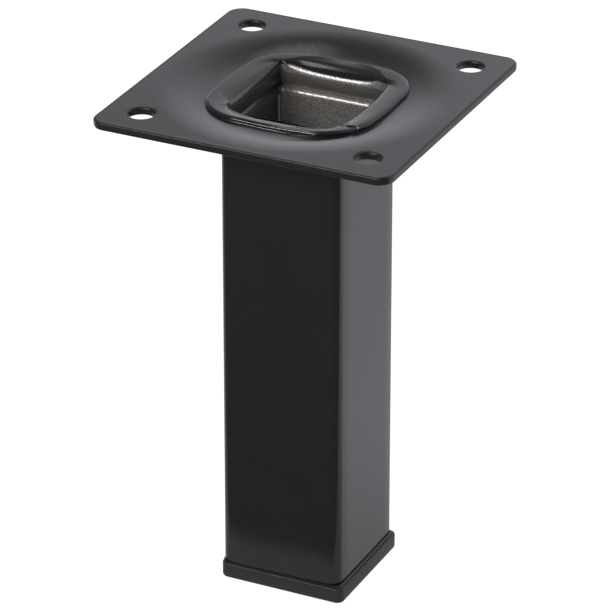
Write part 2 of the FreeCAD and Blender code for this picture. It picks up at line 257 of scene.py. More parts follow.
def raise_rings(piece, rings):
    """Extrudes ring after ring, then joins the last one to the first."""
    bpy.ops.mesh.select_mode(type="EDGE")
    bpy.ops.mesh.select_all(action="SELECT")
    lay_ring(piece, rings[0])
    for where in rings[1:]:
        bpy.ops.mesh.extrude_edges_move(TRANSFORM_OT_translate={"value": (0, 0, MM)})
        lay_ring(piece, where)
    pick(lambda middle, edge: edge.is_boundary, "EDGE")
    bpy.ops.mesh.bridge_edge_loops()
    bpy.ops.mesh.select_all(action="SELECT")
    bpy.ops.mesh.normals_make_consistent(inside=False)
    print(piece.name, "rings:", len(rings))


# %% [markdown]
# ## The plate
# The plate was cut from sheet in a press. The cut rolls the upper edge over a little and breaks off sharper
# below. A second stroke pressed the middle down to a round dish, so that the folded rim of the tube stays
# below the brim. A flat slab with a bevel has the same edge above and below, and no dish. So the plate's
# skin is raised in rings, and its edge is written down as a short profile.

# %% Sizes of the plate, in millimetres
PLATE_HALF, PLATE_CORNER, PLATE_TOP, SHEET = 30.0, 3.0, 100.0, 1.5
OPENING_HALF, OPENING_CORNER = 12.55, 2.05
DISH_START, DISH_STEEP, DISH_EASY, DISH_END, DISH_DEPTH = 16.9, 20.4, 22.4, 28.3, 1.3
FLOOR_TOP = PLATE_TOP - DISH_DEPTH
SCREW_PLACE = 22.75
# Each point of the edge: how far inside the outline it lies, and how far below the top.
PLATE_EDGE = (
    (0.65, 0.0), (0.42, 0.0), (0.28, 0.02), (0.17, 0.06), (0.08, 0.13), (0.02, 0.22), (0.0, 0.34), (0.0, 1.0),
    (0.02, 1.2), (0.05, 1.36), (0.1, 1.45), (0.17, 1.5), (0.65, 1.5),
)
print("side of the plate:", 2 * PLATE_HALF, "mm, sheet:", SHEET, "mm")

# %% [markdown]
# ## The slope of the dish
# The real dish begins softly next to the tube's rim, is steepest half way out and fades into the brim.
# Pressing the rim down flattened its start in front and left it steep sooner at the right. Heights written
# down one by one would leave small kinks, and glossy paint shows every kink. A formula whose slope grows,
# stays and fades has none.

# %% Height of the dish
FRONT_START, FRONT_STEEP, RIGHT_STEEP = 1.0, 0.5, -1.6


def dish_rise(x, y):
    """How far the dish has risen at a place. In front, its slope begins FRONT_START later."""
    out = math.hypot(x, y)
    front, right = max(-y / out, 0) ** 2, max(x / out, 0) ** 2
    start = DISH_START + FRONT_START * front
    steep = DISH_STEEP + FRONT_STEEP * front + RIGHT_STEEP * right
    slope = DISH_DEPTH / ((DISH_EASY - steep) + (steep - start + DISH_END - DISH_EASY) / 2)
    first = min(max(out - start, 0), steep - start)
    second = min(max(out - steep, 0), DISH_EASY - steep)
    third = min(max(out - DISH_EASY, 0), DISH_END - DISH_EASY)
    growing = first * first / 2 / (steep - start)
    fading = third - third * third / 2 / (DISH_END - DISH_EASY)
    return slope * (growing + second + fading)


print("slope in degrees:", round(math.degrees(math.atan(dish_rise(22, 0) - dish_rise(21, 0))), 1))

# %% [markdown]
# ## From the square opening to the square outline
# The dish is round while the plate's opening and outline are square. Between them the rings become circles.
# A circle's points lie in the same directions as those of the outline, so that the faces between a circle
# and a square stay even.

# %% Raise the plate
def dish_ring(out, drop):
    """A circle on the dish, or below it by the sheet's thickness."""
    def where(place):
        x, y = outline_point(place, PLATE_HALF, PLATE_CORNER)
        flat = Vector((x, y, 0)).normalized() * out
        return Vector((flat.x, flat.y, FLOOR_TOP + dish_rise(flat.x, flat.y) - drop))

    return where


circles = [17.0 + 0.4 * step for step in range(10)]
circles += [21.0 + 0.5 * step for step in range(15)]
circles += [DISH_END, DISH_END + 0.6]
rings = [level_ring(OPENING_HALF, OPENING_CORNER, FLOOR_TOP)]
rings += [dish_ring(out, 0) for out in circles]
for inset, drop in PLATE_EDGE:
    rings.append(level_ring(PLATE_HALF - inset, PLATE_CORNER - inset, PLATE_TOP - drop))
rings += [dish_ring(out, SHEET) for out in reversed(circles)]
rings += [level_ring(OPENING_HALF, OPENING_CORNER, FLOOR_TOP - SHEET)]
plate = start_ring("dished_plate")
raise_rings(plate, rings)
bpy.ops.object.mode_set(mode="OBJECT")

# %% [markdown]
# ## Punching the screw holes
# A punch pulls the sheet down round its edge before it cuts, and the last bit of the sheet tears off wider.
# A plain cylinder as a cutter would leave a sharp mouth, and a bevel afterwards would have to find the
# hole's edges among all the plate's rings. So the cutter itself has the shape of such a hole: wide and
# round at the top, straight, and a little wider again at the bottom.

# %% A cutter for one hole
# Each level of the cutter: its height and its radius.
PUNCH = (
    (97.5, 2.72), (98.5, 2.62), (98.78, 2.48), (99.45, 2.45), (99.65, 2.48), (99.80, 2.55), (99.90, 2.65),
    (99.96, 2.78), (99.99, 2.92), (100.03, 3.1), (100.6, 3.3),
)
PUNCH_POINTS = 72


def punch(x, y):
    """Raises a disc level by level to a closed cutter."""
    nothing_selected()
    bpy.ops.mesh.primitive_circle_add(vertices=PUNCH_POINTS, radius=PUNCH[0][1] * MM, fill_type="NGON")
    cutter = bpy.context.object
    cutter.location = (x * MM, y * MM, PUNCH[0][0] * MM)
    bpy.ops.object.mode_set(mode="EDIT")
    bpy.ops.mesh.select_all(action="SELECT")
    for (low, before), (high, after) in zip(PUNCH, PUNCH[1:]):
        bpy.ops.mesh.extrude_region_move(TRANSFORM_OT_translate={"value": (0, 0, (high - low) * MM)})
        share = after / before
        bpy.ops.transform.resize(value=(share, share, 1), center_override=(x * MM, y * MM, high * MM))
    bpy.ops.mesh.select_all(action="SELECT")
    bpy.ops.mesh.normals_make_consistent(inside=False)
    bpy.ops.object.mode_set(mode="OBJECT")
    return cutter


print("width of a hole:", 2 * min(radius for height, radius in PUNCH), "mm")

# %% [markdown]
# ## Cutting the holes
# All four cutters are joined to one object, so that one boolean takes them out of the plate. The boolean
# leaves long faces round each hole, and smooth shading spreads over them as dark fans. Finer rings would
# hide the fans at the price of many faces. The Weighted Normal modifier cures them: the larger a face is,
# the more it says about the shading, so the brim stays evenly bright up to the hole.

# %% Cut the holes and even out the shading
cutters = [punch(x, y) for x in (-SCREW_PLACE, SCREW_PLACE) for y in (-SCREW_PLACE, SCREW_PLACE)]
select_only(*cutters)
bpy.ops.object.join()
holes = plate.modifiers.new("screw_holes", "BOOLEAN")
holes.operation, holes.object, holes.solver = "DIFFERENCE", cutters[0], "EXACT"
apply_modifier(plate, holes)
bpy.data.objects.remove(cutters[0])
finish_piece(plate, "mounting_plate", 30)
even = plate.modifiers.new("even_shading", "WEIGHTED_NORMAL")
even.keep_sharp = True
apply_modifier(plate, even)
print("holes cut:", len(cutters))

# %% [markdown]
# ## The tube
# On the real leg the tube's end was bulged out below the plate and then pressed flat over it, so the plate
# is clamped in between. The metal stretched most at the corners. There the lip is tight and high, and in
# the middle of each side it rolls down wide and low. A sweep along the square would make all four sides
# alike, so the tube's skin is raised in rings too, and each side has its own numbers.

# %% Sizes of the tube, in millimetres
TUBE_HALF, TUBE_CORNER, TUBE_EASE = 12.5, 2.0, 0.10
BORE_HALF, BORE_CORNER = 11.3, 0.8
RIM_HALF, RIM_CORNER, RIM_TOP = 16.4, 10.3, 99.58
RIM_BULGE = {RIGHT: 0.35, BACK: 0.35, LEFT: 0.35, FRONT: 0.50}
TUBE_END, SAW_SLANT = 3.55, 0.30
BEAD_OUT, BEAD_HEIGHT, BEAD_FULLNESS = 1.4, 5.0, 2.4
BEAD_TOP = FLOOR_TOP - SHEET
print("wall:", round(TUBE_HALF - BORE_HALF, 2), "mm, rim:", round(RIM_TOP - FLOOR_TOP, 2), "mm high")

# %% [markdown]
# ## The bead below the plate
# The bead is the bulge that holds the plate from below. Half a circle would meet the tube too softly: a
# swaged bead is fuller, nearly straight where it leaves the tube and flat on its outside. A circle whose
# power is raised above 2 has just that form.

# %% Rings up the outside
BEAD_SHARES = (-1.0, -0.98, -0.92, -0.8, -0.62, -0.4, -0.13, 0.13, 0.4, 0.62, 0.8, 0.92, 0.98, 1.0)
BELOW_BEAD = 0.4


def rounded(share, power):
    """Height of a rounded bump: 1 in its middle, where share is 0, and 0 at its ends."""
    return (1 - abs(share) ** power) ** (1 / power)


def outside_rings():
    """The rings from just below the bead up to the dish's floor."""
    middle = BEAD_TOP - BEAD_HEIGHT / 2
    rings = [level_ring(TUBE_HALF, TUBE_CORNER, middle - BEAD_HEIGHT / 2 - BELOW_BEAD, TUBE_EASE)]
    for share in BEAD_SHARES:
        out = BEAD_OUT * rounded(share, BEAD_FULLNESS)
        height = middle + share * BEAD_HEIGHT / 2
        rings.append(level_ring(TUBE_HALF + out, TUBE_CORNER + out, height, TUBE_EASE))
    rings.append(level_ring(TUBE_HALF, TUBE_CORNER, FLOOR_TOP))
    return rings


print("rings over the bead:", len(outside_rings()))

# %% [markdown]
# ## The rim's side
# The rim lies flat on the dish, and its cut edge is rounded. In front, the wet paint ran together in the
# corner between the rim and the plate and dried as a small hollow fillet. The fillet and the edge's lower
# facet each mirror the softbox as one white line, which is how the photograph shows them. A bump in the
# paint can't mirror that crisply, so both are in the mesh.

# %% Profile of the rim's side
# Each point: how far inside the rim's outline it lies, and how far above the dish. Below 0 it is paint.
RIM_SIDE = (
    (-0.20, 0.0), (-0.16, 0.015), (-0.115, 0.045), (-0.075, 0.10), (-0.04, 0.175), (-0.008, 0.25),
    (0.0, 0.32), (0.006, 0.37), (0.028, 0.42), (0.062, 0.495), (0.096, 0.57), (0.15, 0.645), (0.22, 0.71),
    (0.30, 0.755), (0.37, 0.775), (0.41, 0.80), (0.45, 0.84), (0.51, 0.87), (0.62, 0.875),
)
RIM_INSET, RIM_HEIGHT = RIM_SIDE[-1]
PAINT_FADE = 2.6
BACK_SAG = 0.26


def pooled(place):
    """How much paint has run together at a place: all of it in front, and less round the left corner."""
    quarter, step = divmod(place, QUARTER)
    if quarter == LEFT and step > SIDE_STEPS:
        return (step - SIDE_STEPS) / CORNER_STEPS
    if quarter == FRONT and step <= SIDE_STEPS:
        return min(PAINT_FADE * (1 - step / SIDE_STEPS), 1)
    return 0.0


def sag(place):
    """The rim was pressed a little lower along its back side than at its corners."""
    quarter, step = divmod(place, QUARTER)
    if quarter != BACK or step > SIDE_STEPS:
        return 0.0
    return BACK_SAG * math.sin(math.pi * step / SIDE_STEPS) ** 2


pool = [round(pooled(FRONT * QUARTER + step), 2) for step in (0, SIDE_STEPS // 2, SIDE_STEPS)]
print("paint run in front, from left to right:", pool)

# %% [markdown]
# ## The rim's corners
# Stretched metal never comes out even: on this leg the rim reaches about half a millimetre further out at
# two of its corners. A soft hump round the corner, added to the outline, is enough for that.

# %% A point of the rim's side
CORNER_REACH = {RIGHT: 0.45, LEFT: 0.55}
CORNER_OUT, HUMP = 19, 7


def rim_point(place, inset, height):
    """A point of the rim's rounded side. The lower it is, the more it follows the dish."""
    quarter = place // QUARTER
    if inset < 0:
        inset = inset * pooled(place)
    x, y = outline_point(place, RIM_HALF - inset, RIM_CORNER - inset, RIM_BULGE[quarter])
    for side, reach in CORNER_REACH.items():
        past = place - side * QUARTER - SIDE_STEPS - CORNER_STEPS / 2
        past = (past + RING / 2) % RING - RING / 2
        longer = 1 + reach / CORNER_OUT * math.exp(-(past / HUMP) ** 2)
        x, y = x * longer, y * longer
    share = height / RIM_HEIGHT
    return Vector((x, y, FLOOR_TOP + dish_rise(x, y) * (1 - share) + height - sag(place) * share))


print("rings of the rim's side:", len(RIM_SIDE))

# %% [markdown]
# ## The rolled lip
# From the rim's top the metal rolls down into the bore. At the corners the roll is tight. In the middle of
# the front side it is about seven times as wide, and the rim's top already leans towards it. A bevel has
# one width, so the roll is a quarter circle whose radius and slope follow the place along the side.

# %% Shape of the lip on each side
LIP_TIGHT = 0.6
LIP_TAPER = 0.15
# How much wider the roll is mid-side, how soon it narrows, how far it leans to the side's end, the slope
# of the rim in degrees where the roll begins, and the power of the curve before it.
LIPS = {
    RIGHT: (1.7, 2.5, 0.0, 8, 2.0),
    BACK: (2.8, 6.0, -0.05, 2, 2.0),
    LEFT: (1.25, 8.0, 0.9, 4, 1.6),
    FRONT: (3.9, 2.5, 0.0, 7.5, 1.05),
}


def lip_size(place):
    """Radius of the roll, the rim's slope at its start and the curve of the rim's top before it."""
    quarter, step = divmod(place, QUARTER)
    wide, power, skew, slope, curve = LIPS[quarter]
    if step > SIDE_STEPS:
        share = (step - SIDE_STEPS) / CORNER_STEPS
        next_slope, next_curve = LIPS[(quarter + 1) % 4][3:]
        slope, curve = slope + (next_slope - slope) * share, curve + (next_curve - curve) * share
        return LIP_TIGHT, math.radians(slope), curve
    along = 2 * step / SIDE_STEPS - 1
    shape = (1 - abs(along) ** power) * (1 + skew * along) * (1 - LIP_TAPER * along * along)
    return LIP_TIGHT + wide * shape, math.radians(slope), curve


for name, side in (("right", RIGHT), ("back", BACK), ("left", LEFT), ("front", FRONT)):
    print("radius of the roll,", name, "side:", lip_size(side * QUARTER + SIDE_STEPS // 2)[0], "mm")

# %% [markdown]
# ## Where the roll meets the rim's top
# The roll starts where its own slope is that of the rim's top, so that no crease shows between them. The
# bore fixes its lower end. From these two ends every point in between follows.

# %% Points of the roll and of the rim's top
def lip_start(place):
    """Where the lip leaves the rim's top, and how far it lies below the top there."""
    radius, slope, curve = lip_size(place)
    out = radius * (1 - math.sin(slope))
    x, y = outline_point(place, BORE_HALF + out, BORE_CORNER + out)
    outer = rim_point(place, RIM_INSET, RIM_HEIGHT)
    width = math.hypot(outer.x - x, outer.y - y)
    return Vector((x, y, RIM_TOP)), math.tan(slope) * width / curve


def lip_point(place, share):
    """A point of the roll: share is 1 where it leaves the rim and 0 where it meets the bore."""
    radius, slope, curve = lip_size(place)
    turn = share * (math.radians(90) - slope)
    out = radius * (1 - math.cos(turn))
    x, y = outline_point(place, BORE_HALF + out, BORE_CORNER + out)
    start, drop = lip_start(place)
    top = RIM_TOP - drop + radius * (1 - math.cos(slope)) - sag(place)
    return Vector((x, y, top - radius * (1 - math.sin(turn))))


def rim_top_point(place, share):
    """A point of the rim's top, from its outer edge, where share is 0, in to the lip, where it is 1."""
    outer = rim_point(place, RIM_INSET, RIM_HEIGHT)
    start, drop = lip_start(place)
    curve = lip_size(place)[2]
    point = outer.lerp(start, share)
    point.z = outer.z + (RIM_TOP - RIM_HEIGHT - FLOOR_TOP) * min(share * 3, 1) - drop * share ** curve
    return point


print("the front roll starts", round(lip_start(FRONT * QUARTER + SIDE_STEPS // 2)[1], 2), "mm below the top")

# %% [markdown]
# ## The groove inside
# Where the bead bulges out, the bore has a groove. Its upper edge is tight, where the pressing folded the
# bulge together, and its lower side runs out in a long hollow curve. That curve mirrors the softbox as the
# lower of the two white lines inside the mouth, so it has many levels. A bevelled step would give a flat
# band instead.

# %% Profile of the groove
# Each point: its height, and how deep the groove is there.
GROOVE = (
    (95.12, 0.0), (95.06, 0.03), (95.02, 0.12), (94.99, 0.3), (94.96, 0.6), (94.92, 0.9), (94.82, 1.08),
    (94.66, 1.15), (94.48, 1.16), (94.40, 1.12), (94.26, 0.98), (94.1, 0.80), (93.92, 0.62), (93.74, 0.465),
    (93.56, 0.335), (93.38, 0.225), (93.2, 0.14), (93.02, 0.075), (92.84, 0.03), (92.66, 0.008), (92.5, 0.0),
)
print("depth of the groove:", max(deep for height, deep in GROOVE), "mm")

# %% [markdown]
# ## The whole tube
# The rings now follow each other from the sawn end up the outside, over the rim and down the inside to the
# sawn end again. A saw cut is never quite square, so the end rises a little towards one side.

# %% Raise the tube
# Each level of the sawn end: how far inside the wall's face it lies, and how high above the end.
SAWN_OUTSIDE = ((0.18, 0.0), (0.06, 0.04), (0.0, 0.16), (0.0, 0.45))
SAWN_INSIDE = ((0.0, 0.45), (0.0, 0.16), (0.15, 0.0))
RIM_TOP_SHARES = (0.15, 0.3, 0.45, 0.6, 0.75, 0.88)
LIP_STEPS = 14


def sawn_ring(half, corner, ease, height):
    """A ring of the sawn end, which rises a little towards the right."""
    def where(place):
        x, y = outline_point(place, half, corner, 0.0, ease)
        return Vector((x, y, TUBE_END + height + SAW_SLANT * (0.5 + x / (2 * TUBE_HALF)) ** 2))

    return where


def ring_of(point, *sizes):
    """A ring whose points come from a function that also takes some sizes."""
    return lambda place: point(place, *sizes)


rings = []
for inset, height in SAWN_OUTSIDE:
    rings.append(sawn_ring(TUBE_HALF - inset, TUBE_CORNER - inset, TUBE_EASE, height))
rings += outside_rings()
rings += [ring_of(rim_point, inset, height) for inset, height in RIM_SIDE]
rings += [ring_of(rim_top_point, share) for share in RIM_TOP_SHARES]
rings += [ring_of(lip_point, step / LIP_STEPS) for step in range(LIP_STEPS, -1, -1)]
rings += [level_ring(BORE_HALF + deep, BORE_CORNER + deep, height) for height, deep in GROOVE]
rings += [sawn_ring(BORE_HALF + inset, BORE_CORNER + inset, 0.0, height) for inset, height in SAWN_INSIDE]
tube = start_ring("square_tube")
raise_rings(tube, rings)

# %% [markdown]
# ## The fold at one corner
# Where two folds met at the front right corner, one side of the rim lies a little over the other. A cut and
# a second layer of metal would be nearer to the truth, but a small step does for the eye. The points past
# the fold are lifted and those before it lowered, and the effect fades out along the side, below the rim's
# top and on both edges of the rim.

# %% Lay one fold over the other
STEP_UP, STEP_UP_LENGTH = 0.20, 20.0
STEP_DOWN, STEP_DOWN_LENGTH = -0.08, 3.0
FOLD_LOW, FOLD_LOW_END = 98.2, 99.0
FOLD_INNER, FOLD_INNER_END, FOLD_OUTER, FOLD_OUTER_END = 12.3, 13.5, 16.6, 15.2


def fold_height(place):
    """How far the skin stands up just past the fold, and dips just before it."""
    past = (place - FOLD + RING / 2) % RING - RING / 2
    if past > 0:
        return STEP_UP * max(1 - past / STEP_UP_LENGTH, 0.0) ** 1.5
    return STEP_DOWN * math.exp(-(past / STEP_DOWN_LENGTH) ** 2)


def ramp(value, start, end):
    """0 at the start and 1 at the end, in a straight line between."""
    return min(max((value - start) / (end - start), 0), 1)


mesh = bmesh.from_edit_mesh(tube.data)
places = mesh.verts.layers.int["place"]
for vertex in mesh.verts:
    out = max(abs(vertex.co.x), abs(vertex.co.y)) / MM
    across = ramp(out, FOLD_OUTER, FOLD_OUTER_END) * ramp(out, FOLD_INNER, FOLD_INNER_END)
    share = across * ramp(vertex.co.z / MM, FOLD_LOW, FOLD_LOW_END)
    vertex.co.z += fold_height(vertex[places]) * share * MM
bmesh.update_edit_mesh(tube.data)
bpy.ops.object.mode_set(mode="OBJECT")
finish_piece(tube, "leg_tube", 40)

# %% [markdown]
# ## The foot plug
# The plug is one moulding: a square head that the leg stands on, a thin neck that leaves a dark line under
# the tube, and a hollow shank with ribs that grip the tube from inside. It could be joined from several
# boxes, but a moulding is one skin. So a cube is the start, bevels round its edges, and insets and
# extrusions of its top face raise the rest.

# %% The plug's head
HEAD_HALF, HEAD_HEIGHT, NECK_HALF, NECK_HEIGHT = 12.9, 3.2, 12.4, 0.35
HEAD_CORNER, SOLE_EDGE, HEAD_EDGE = 1.5, 0.6, 0.3

nothing_selected()
bpy.ops.mesh.primitive_cube_add(size=1, location=(0, 0, HEAD_HEIGHT / 2 * MM))
plug = bpy.context.object
plug.name = "plug"
plug.scale = (2 * HEAD_HALF * MM, 2 * HEAD_HALF * MM, HEAD_HEIGHT * MM)
bpy.ops.object.transform_apply(location=True, rotation=True, scale=True)
bpy.ops.object.mode_set(mode="EDIT")
pick(lambda middle, edge: abs(middle.z - HEAD_HEIGHT / 2) < 0.1, "EDGE")
bpy.ops.mesh.bevel(offset=HEAD_CORNER * MM, segments=8, affect="EDGES")
pick(lambda middle, edge: middle.z < 0.01, "EDGE")
bpy.ops.mesh.bevel(offset=SOLE_EDGE * MM, segments=5, affect="EDGES")
pick(lambda middle, edge: middle.z > HEAD_HEIGHT - 0.01, "EDGE")
bpy.ops.mesh.bevel(offset=HEAD_EDGE * MM, segments=3, affect="EDGES")
print("faces of the head:", len(bmesh.from_edit_mesh(plug.data).faces))

# %% [markdown]
# ## The shank
# The shank grows out of the head's top face. An extrusion without a move makes a face of its own inside the
# picked one, and a resize draws it in. The inset operator would do the same, but it keeps one distance from
# round corners and straight sides, and here the whole outline has to shrink in one proportion. The bands
# for the ribs are raised along with it.

# %% The neck and the hollow shank
SHANK_HALF, SHANK_WALL, PLUG_FLOOR, LEAD_IN, LEAD_SHARE = 10.3, 1.6, 2.0, 0.7, 0.95
FIRST_RIB, RIB_HEIGHT, RIB_GAP, RIBS = 2.5, 1.0, 2.6, 3


def raise_by(height):
    bpy.ops.mesh.extrude_region_move(TRANSFORM_OT_translate={"value": (0, 0, height * MM)})


def narrow(old_half, new_half):
    """Adds a face of its own inside the picked one, and draws it in to a smaller half side."""
    share = new_half / old_half
    bpy.ops.mesh.extrude_region_move()
    bpy.ops.transform.resize(value=(share, share, 1))


pick(lambda middle, face: abs(middle.z - HEAD_HEIGHT) < 0.01 and face.normal.z > 0.9)
narrow(HEAD_HALF - HEAD_EDGE, NECK_HALF)
raise_by(NECK_HEIGHT)
narrow(NECK_HALF, SHANK_HALF)
raise_by(FIRST_RIB)
height = HEAD_HEIGHT + NECK_HEIGHT + FIRST_RIB
rib_starts = []
for number in range(RIBS):
    rib_starts.append(height)
    raise_by(RIB_HEIGHT)
    raise_by(RIB_GAP)
    height += RIB_HEIGHT + RIB_GAP
raise_by(LEAD_IN)
bpy.ops.transform.resize(value=(LEAD_SHARE, LEAD_SHARE, 1))
height += LEAD_IN
narrow(SHANK_HALF * LEAD_SHARE, SHANK_HALF - SHANK_WALL)
raise_by(PLUG_FLOOR - height)
print("shank up to", round(height, 2), "mm, ribs from", [round(start, 2) for start in rib_starts])

# %% [markdown]
# ## The ribs
# Each rib is a band of the shank's outer faces that is extruded and drawn out to the tube's walls. Last,
# the head's points alone are moved a little, because on the real leg the plug doesn't sit quite in the
# middle.

# %% Ribs round the shank
RIB_REACH, FROM_SHANK = 11.23, 0.6
HEAD_ASIDE, HEAD_BACK = 0.30, 0.05


def on_shank(middle, low, high):
    out = max(abs(middle.x), abs(middle.y))
    return low < middle.z < high and abs(out - SHANK_HALF) < FROM_SHANK


for low in rib_starts:
    count = pick(lambda middle, face: on_shank(middle, low, low + RIB_HEIGHT) and abs(face.normal.z) < 0.1)
    bpy.ops.mesh.extrude_region_move()
    bpy.ops.transform.resize(value=(RIB_REACH / SHANK_HALF, RIB_REACH / SHANK_HALF, 1))
    print("rib from", round(low, 2), "made of", count, "faces")
pick(lambda place, vertex: place.z < HEAD_HEIGHT + 0.01, "VERT")
bpy.ops.transform.translate(value=(HEAD_ASIDE * MM, HEAD_BACK * MM, 0))
bpy.ops.mesh.select_all(action="SELECT")
bpy.ops.mesh.normals_make_consistent(inside=False)
bpy.ops.object.mode_set(mode="OBJECT")
finish_piece(plug, "foot_plug", 40)

# %% [markdown]
# ## Working with shader nodes
# A finish is a small network of nodes. Written out link by link, its arithmetic is hard to read, so a wire
# between two nodes gets a class of its own here. With the usual operators on wires, an expression such as
# `1 - mask` adds the Math node that works it out.

# %% A wire that can be added, multiplied and compared
class Wire:
    def __init__(self, finish, socket):
        self.finish = finish
        self.socket = socket

    def _math(self, operation, first, second=None):
        inputs = [first] if second is None else [first, second]
        return self.finish.node("ShaderNodeMath", {"operation": operation}, inputs)

    def __add__(self, other):
        return self._math("ADD", self, other)

    __radd__ = __add__

    def __sub__(self, other):
        return self._math("SUBTRACT", self, other)

    def __rsub__(self, other):
        return self._math("SUBTRACT", other, self)

    def __mul__(self, other):
        return self._math("MULTIPLY", self, other)

    __rmul__ = __mul__

    def __truediv__(self, other):
        return self._math("DIVIDE", self, other)

    def __abs__(self):
        return self._math("ABSOLUTE", self)

    def at_least(self, other):
        return self._math("MAXIMUM", self, other)

    def root(self):
        return self._math("SQRT", self)


print("a wire knows:", "+ - * /, abs, at_least and root")

# %% [markdown]
# ## One method for every node
# Adding a node always takes the same steps: make it, set it up, fill or link its inputs and name the output
# that goes on. One method does all of them for any kind of node, so no finish has to repeat them. The
# settings come first, because they decide which sockets a node has.

# %% The network of a material or of the world
class Network:
    def __init__(self, owner):
        owner.use_nodes = True
        owner.node_tree.nodes.clear()
        self.owner = owner
        self.tree = owner.node_tree

    def node(self, kind, settings=None, inputs=None, output=None):
        """Adds a node. Inputs are values or wires, in the sockets' order or by the sockets' names."""
        made = self.tree.nodes.new(kind)
        for key, value in (settings or {}).items():
            setattr(made, key, value)
        usable = [socket for socket in made.inputs if socket.enabled]
        if isinstance(inputs, dict):
            pairs = [(self._named(usable, key), value) for key, value in inputs.items()]
        else:
            pairs = zip(usable, inputs or [])
        for socket, value in pairs:
            if isinstance(value, Wire):
                self.tree.links.new(value.socket, socket)
            else:
                socket.default_value = value
        outputs = [socket for socket in made.outputs if socket.enabled]
        if not outputs:
            return made
        return Wire(self, self._named(outputs, output) if output else outputs[0])

    def _named(self, sockets, name):
        return next(socket for socket in sockets if socket.name == name)


print("a network is made of:", "nodes and wires")

# %% [markdown]
# ## Short names for the usual nodes
# Soft masks, colour blends, noise and bumps come back in every finish. Each gets a short method whose sizes
# are in millimetres, so that the finishes below read like a description of the surface.

# %% A finish
class Finish(Network):
    def step(self, value, low, high):
        """0 below low and 1 above high, with a soft passage between."""
        ranges = {"Value": value, "From Min": low, "From Max": high}
        return self.node("ShaderNodeMapRange", {"interpolation_type": "SMOOTHSTEP"}, ranges)

    def blend(self, share, first, second):
        """A colour that is the first where the share is 0 and the second where it is 1."""
        inputs = {"Factor": share, "A": first, "B": second}
        return self.node("ShaderNodeMix", {"data_type": "RGBA"}, inputs)

    def scaled(self, colour, by):
        return self.node("ShaderNodeVectorMath", {"operation": "SCALE"}, {"Vector": colour, "Scale": by})

    def noise(self, place, per_mm, detail=2.0, roughness=0.5):
        inputs = {"Vector": place, "Scale": per_mm / MM, "Detail": detail, "Roughness": roughness}
        return self.node("ShaderNodeTexNoise", None, inputs)

    def stretched(self, place, x, y, z):
        """The place scaled by a different amount along each axis, which draws a pattern out into streaks."""
        return self.node("ShaderNodeMapping", None, {"Vector": place, "Scale": (x, y, z)})

    def bump(self, height, depth_mm, strength=1.0, below=None):
        inputs = {"Strength": strength, "Distance": depth_mm * MM, "Height": height}
        if below is not None:
            inputs["Normal"] = below
        return self.node("ShaderNodeBump", None, inputs)

    def place(self):
        return self.node("ShaderNodeTexCoord", None, None, "Object")

    def axes(self, place):
        split = self.node("ShaderNodeSeparateXYZ", None, [place])
        outputs = split.socket.node.outputs
        return [Wire(self, outputs[name]) for name in ("X", "Y", "Z")]

    def surface(self, shader):
        self.node("ShaderNodeOutputMaterial", None, {"Surface": shader})
        return self.owner


print("a finish adds:", "step, blend, scaled, noise, stretched and bump")


# %% Greys, and dressing a piece
def new_finish(name):
    return Finish(bpy.data.materials.new(name))


def grey(level, tint=(1.0, 1.0, 1.0)):
    return (level * tint[0], level * tint[1], level * tint[2], 1.0)


def dress(piece, material):
    piece.data.materials.clear()
    piece.data.materials.append(material)
    print(piece.name, "wears", material.name)


print("a dark grey:", grey(0.06))

# %% [markdown]
# ## The black paint
# The steel is painted black all over from outside. The coat has a satin gloss, the light ripple of sprayed
# paint, a few specks of dust that dried into it and faint hazy streaks where it was wiped. A picture of
# paint could be wrapped round the leg, but it would show seams and fixed reflections. Noise in the piece's
# own coordinates has neither. The ripple and the specks go into the bump, and the haze makes the gloss a
# little duller in places.

# %% The layers of the paint
PAINT = (1.0, 1.0, 1.06)


def paint_layers(finish, place):
    """The colour, roughness and normal of the black coat."""
    cloud = finish.noise(place, 0.10, 4.0, 0.6)
    peel = finish.noise(place, 0.7, 3.0)
    grain = finish.noise(place, 6.0, 2.0)
    dust_cells = finish.node("ShaderNodeTexVoronoi", None, {"Vector": place, "Scale": 0.9 / MM}, "Distance")
    dust_here = finish.step(finish.noise(place, 0.35, 1.0), 0.60, 0.66)
    dust = (1 - finish.step(dust_cells, 0.05, 0.13)) * dust_here
    streaks = finish.noise(finish.stretched(place, 3.0, 0.35, 1.0), 1.1, 4.0, 0.65)
    haze = finish.step(streaks, 0.52, 0.75) * finish.step(cloud, 0.45, 0.62)
    colour = finish.blend(cloud, grey(0.007, PAINT), grey(0.011, PAINT))
    colour = finish.blend(haze * 0.5 + dust * 0.6, colour, grey(0.035, PAINT))
    roughness = 0.11 + 0.05 * cloud + 0.10 * haze + 0.04 * grain
    normal = finish.bump(peel, 0.008, 0.5)
    normal = finish.bump(dust, 0.03, 0.8, normal)
    return colour, roughness, normal


print("the paint's darkest grey:", grey(0.007, PAINT))

# %% [markdown]
# ## Traces of a rag
# Behind the tube's rim a rag left fine pale hairlines that run outwards. Streaks along one axis would look
# brushed. When the noise reads the angle round the tube and the distance from it, the streaks fan out
# instead, and a soft oval keeps them to the patch that was wiped.

# %% Wiped paint
WIPED_X, WIPED_OUT = -10.5, 19.8
WIPED_WIDE, WIPED_LONG = 10.5, 4.6


def distance_out(x, y):
    """How far a place is from the leg's middle line."""
    return (x * x + y * y).root()


